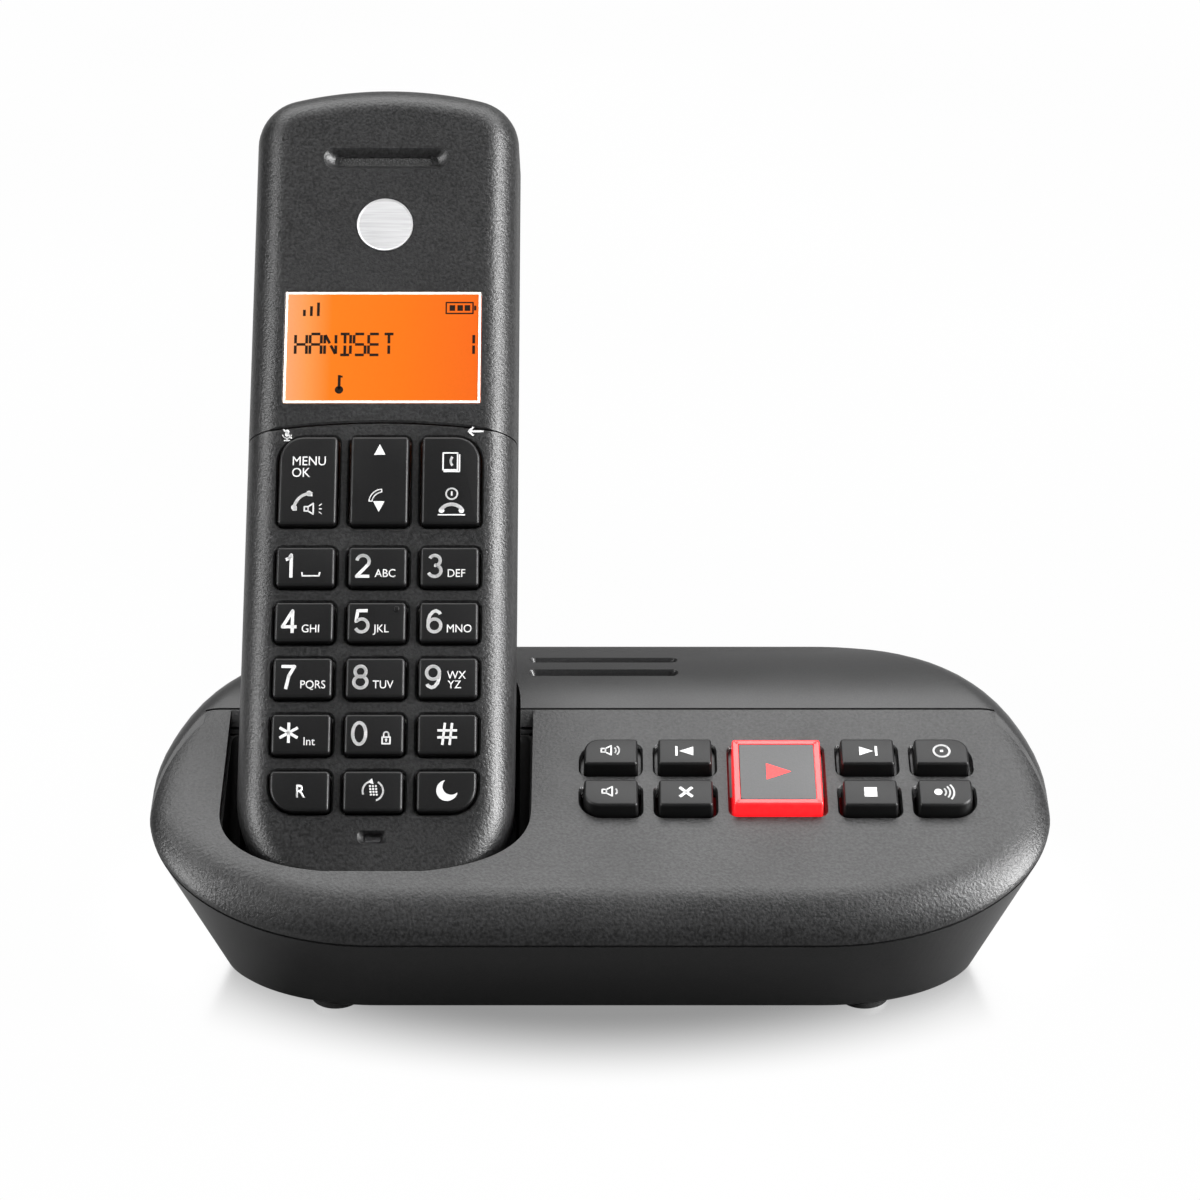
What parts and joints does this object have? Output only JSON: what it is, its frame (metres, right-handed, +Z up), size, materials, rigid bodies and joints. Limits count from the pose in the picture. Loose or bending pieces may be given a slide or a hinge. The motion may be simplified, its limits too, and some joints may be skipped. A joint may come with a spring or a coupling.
{
  "type": "cordless telephone",
  "caption": "Cordless handset with keypad and display standing in the slanted charging cradle of a wedge-shaped answering-machine base with push buttons",
  "frame": {"origin": "on the table plane under the middle of the base; the docked handset stands at the left end, so the origin is not the middle of the whole part's box", "axes": "-Y is the front, where the keys and buttons face the user; +X is the user's right and the part's longest side; +Z is up"},
  "size_m": [0.1566, 0.1286, 0.1313],
  "materials": {
    "shell_black": "spark-eroded fine grain, charcoal black",
    "housing_satin": "satin moulded, dark grey",
    "cup_black": "fine moulded texture",
    "key_black": "smooth with white print",
    "cap_grey": "smooth with red print",
    "light_guide_red": "clear red, lit from below",
    "display_amber": "clear window over an amber liquid-crystal display",
    "badge_silver": "brushed disc",
    "mesh_black": "fine woven mesh",
    "rubber_black": "matt",
    "jack_black": "plain moulded",
    "contact_metal": "plated",
    "screw_steel": "zinc plated",
    "board_green": "solder-resist lacquer",
    "mat_grey": "silicone",
    "capsule_metal": "pressed steel",
    "cell_wrap": "shrink sleeve"
  },
  "bodies": {
    "base": {"base_top_cover": "shell_black", "base_housing": "housing_satin", "base_bottom_plate": "housing_satin", "base_feet": "rubber_black", "base_screws": "screw_steel", "cradle_cup": "cup_black", "main_pcb": "board_green", "button_pcb": "board_green", "button_mat": "mat_grey", "play_led": "light_guide_red", "base_loudspeaker": "capsule_metal", "speaker_gasket": "rubber_black", "line_jack": "jack_black", "power_jack": "jack_black"},
    "handset": {"handset_upper_cover": "shell_black", "handset_keypad_cover": "shell_black", "handset_rear_cover": "shell_black", "display_window": "display_amber", "display_module": "display_amber", "earpiece_mesh": "mesh_black", "earpiece_receiver": "capsule_metal", "badge_disc": "badge_silver", "microphone": "capsule_metal", "handset_pcb": "board_green", "keypad_mat": "mat_grey", "battery_cells": "cell_wrap", "battery_contacts": "contact_metal", "handset_contacts": "contact_metal", "handset_screws": "screw_steel"},
    "battery_door": {"battery_door": "shell_black"},
    "charge_pin_left": {"charge_contact_left": "contact_metal"},
    "charge_pin_right": {"charge_contact_right": "contact_metal"},
    "volume_up_body": {"volume_up_button": "key_black"},
    "volume_down_body": {"volume_down_button": "key_black"},
    "previous_body": {"previous_button": "key_black"},
    "delete_body": {"delete_button": "key_black"},
    "play_body": {"play_button": "light_guide_red", "play_cap": "cap_grey"},
    "next_body": {"next_button": "key_black"},
    "stop_body": {"stop_button": "key_black"},
    "power_body": {"power_button": "key_black"},
    "page_body": {"page_button": "key_black"},
    "key_1_body": {"key_1": "key_black"},
    "key_2_body": {"key_2": "key_black"},
    "key_3_body": {"key_3": "key_black"},
    "key_4_body": {"key_4": "key_black"},
    "key_5_body": {"key_5": "key_black"},
    "key_6_body": {"key_6": "key_black"},
    "key_7_body": {"key_7": "key_black"},
    "key_8_body": {"key_8": "key_black"},
    "key_9_body": {"key_9": "key_black"},
    "key_star_body": {"key_star": "key_black"},
    "key_0_body": {"key_0": "key_black"},
    "key_hash_body": {"key_hash": "key_black"},
    "key_recall_body": {"key_recall": "key_black"},
    "key_redial_body": {"key_redial": "key_black"},
    "key_night_body": {"key_night": "key_black"},
    "key_menu_body": {"key_menu": "key_black"},
    "key_navigate_body": {"key_navigate": "key_black"},
    "key_end_body": {"key_end": "key_black"}
  },
  "joints": [
    {"name": "press_volume_up", "type": "slide", "parent": "base", "child": "volume_up_body", "axis": [0, 0.284, -0.9588], "range_m": [0, 0.0006], "stiffness_N_per_m": 600},
    {"name": "press_volume_down", "type": "slide", "parent": "base", "child": "volume_down_body", "axis": [0, 0.284, -0.9588], "range_m": [0, 0.0006], "stiffness_N_per_m": 600},
    {"name": "press_previous", "type": "slide", "parent": "base", "child": "previous_body", "axis": [0, 0.284, -0.9588], "range_m": [0, 0.0006], "stiffness_N_per_m": 600},
    {"name": "press_delete", "type": "slide", "parent": "base", "child": "delete_body", "axis": [0, 0.284, -0.9588], "range_m": [0, 0.0006], "stiffness_N_per_m": 600},
    {"name": "press_play", "type": "slide", "parent": "base", "child": "play_body", "axis": [0, 0.284, -0.9588], "range_m": [0, 0.0006], "stiffness_N_per_m": 600},
    {"name": "press_next", "type": "slide", "parent": "base", "child": "next_body", "axis": [0, 0.284, -0.9588], "range_m": [0, 0.0006], "stiffness_N_per_m": 600},
    {"name": "press_stop", "type": "slide", "parent": "base", "child": "stop_body", "axis": [0, 0.284, -0.9588], "range_m": [0, 0.0006], "stiffness_N_per_m": 600},
    {"name": "press_power", "type": "slide", "parent": "base", "child": "power_body", "axis": [0, 0.284, -0.9588], "range_m": [0, 0.0006], "stiffness_N_per_m": 600},
    {"name": "press_page", "type": "slide", "parent": "base", "child": "page_body", "axis": [0, 0.284, -0.9588], "range_m": [0, 0.0006], "stiffness_N_per_m": 600},
    {"name": "charge_pin_left_travel", "type": "slide", "parent": "base", "child": "charge_pin_left", "axis": [0, -0.6947, -0.7193], "range_m": [0, 0.0008], "stiffness_N_per_m": 400},
    {"name": "charge_pin_right_travel", "type": "slide", "parent": "base", "child": "charge_pin_right", "axis": [0, -0.6947, -0.7193], "range_m": [0, 0.0008], "stiffness_N_per_m": 400},
    {"name": "handset_lift_out", "type": "slide", "parent": "base", "child": "handset", "axis": [0, 0.6947, 0.7193], "range_m": [0, 0.06]},
    {"name": "battery_door_hinge", "type": "hinge", "parent": "handset", "child": "battery_door", "pos_m": [-0.0389, 0.02101, 0.04559], "axis": [-1, 0, 0], "range_deg": [0, 50]},
    {"name": "press_key_1", "type": "slide", "parent": "handset", "child": "key_1_body", "axis": [0, 0.7193, -0.6947], "range_m": [0, 0.0007], "stiffness_N_per_m": 500},
    {"name": "press_key_2", "type": "slide", "parent": "handset", "child": "key_2_body", "axis": [0, 0.7193, -0.6947], "range_m": [0, 0.0007], "stiffness_N_per_m": 500},
    {"name": "press_key_3", "type": "slide", "parent": "handset", "child": "key_3_body", "axis": [0, 0.7193, -0.6947], "range_m": [0, 0.0007], "stiffness_N_per_m": 500},
    {"name": "press_key_4", "type": "slide", "parent": "handset", "child": "key_4_body", "axis": [0, 0.7193, -0.6947], "range_m": [0, 0.0007], "stiffness_N_per_m": 500},
    {"name": "press_key_5", "type": "slide", "parent": "handset", "child": "key_5_body", "axis": [0, 0.7193, -0.6947], "range_m": [0, 0.0007], "stiffness_N_per_m": 500},
    {"name": "press_key_6", "type": "slide", "parent": "handset", "child": "key_6_body", "axis": [0, 0.7193, -0.6947], "range_m": [0, 0.0007], "stiffness_N_per_m": 500},
    {"name": "press_key_7", "type": "slide", "parent": "handset", "child": "key_7_body", "axis": [0, 0.7193, -0.6947], "range_m": [0, 0.0007], "stiffness_N_per_m": 500},
    {"name": "press_key_8", "type": "slide", "parent": "handset", "child": "key_8_body", "axis": [0, 0.7193, -0.6947], "range_m": [0, 0.0007], "stiffness_N_per_m": 500},
    {"name": "press_key_9", "type": "slide", "parent": "handset", "child": "key_9_body", "axis": [0, 0.7193, -0.6947], "range_m": [0, 0.0007], "stiffness_N_per_m": 500},
    {"name": "press_key_star", "type": "slide", "parent": "handset", "child": "key_star_body", "axis": [0, 0.7193, -0.6947], "range_m": [0, 0.0007], "stiffness_N_per_m": 500},
    {"name": "press_key_0", "type": "slide", "parent": "handset", "child": "key_0_body", "axis": [0, 0.7193, -0.6947], "range_m": [0, 0.0007], "stiffness_N_per_m": 500},
    {"name": "press_key_hash", "type": "slide", "parent": "handset", "child": "key_hash_body", "axis": [0, 0.7193, -0.6947], "range_m": [0, 0.0007], "stiffness_N_per_m": 500},
    {"name": "press_key_recall", "type": "slide", "parent": "handset", "child": "key_recall_body", "axis": [0, 0.7193, -0.6947], "range_m": [0, 0.0007], "stiffness_N_per_m": 500},
    {"name": "press_key_redial", "type": "slide", "parent": "handset", "child": "key_redial_body", "axis": [0, 0.7193, -0.6947], "range_m": [0, 0.0007], "stiffness_N_per_m": 500},
    {"name": "press_key_night", "type": "slide", "parent": "handset", "child": "key_night_body", "axis": [0, 0.7193, -0.6947], "range_m": [0, 0.0007], "stiffness_N_per_m": 500},
    {"name": "rock_key_menu", "type": "hinge", "parent": "handset", "child": "key_menu_body", "pos_m": [-0.0515, 0.01594, 0.07633], "axis": [1, 0, 0], "range_deg": [-2.5, 2.5], "stiffness_Nm_per_rad": 0.3},
    {"name": "rock_key_navigate", "type": "hinge", "parent": "handset", "child": "key_navigate_body", "pos_m": [-0.0389, 0.01594, 0.07633], "axis": [1, 0, 0], "range_deg": [-2.5, 2.5], "stiffness_Nm_per_rad": 0.3},
    {"name": "rock_key_end", "type": "hinge", "parent": "handset", "child": "key_end_body", "pos_m": [-0.0263, 0.01594, 0.07633], "axis": [1, 0, 0], "range_deg": [-2.5, 2.5], "stiffness_Nm_per_rad": 0.3}
  ]
}
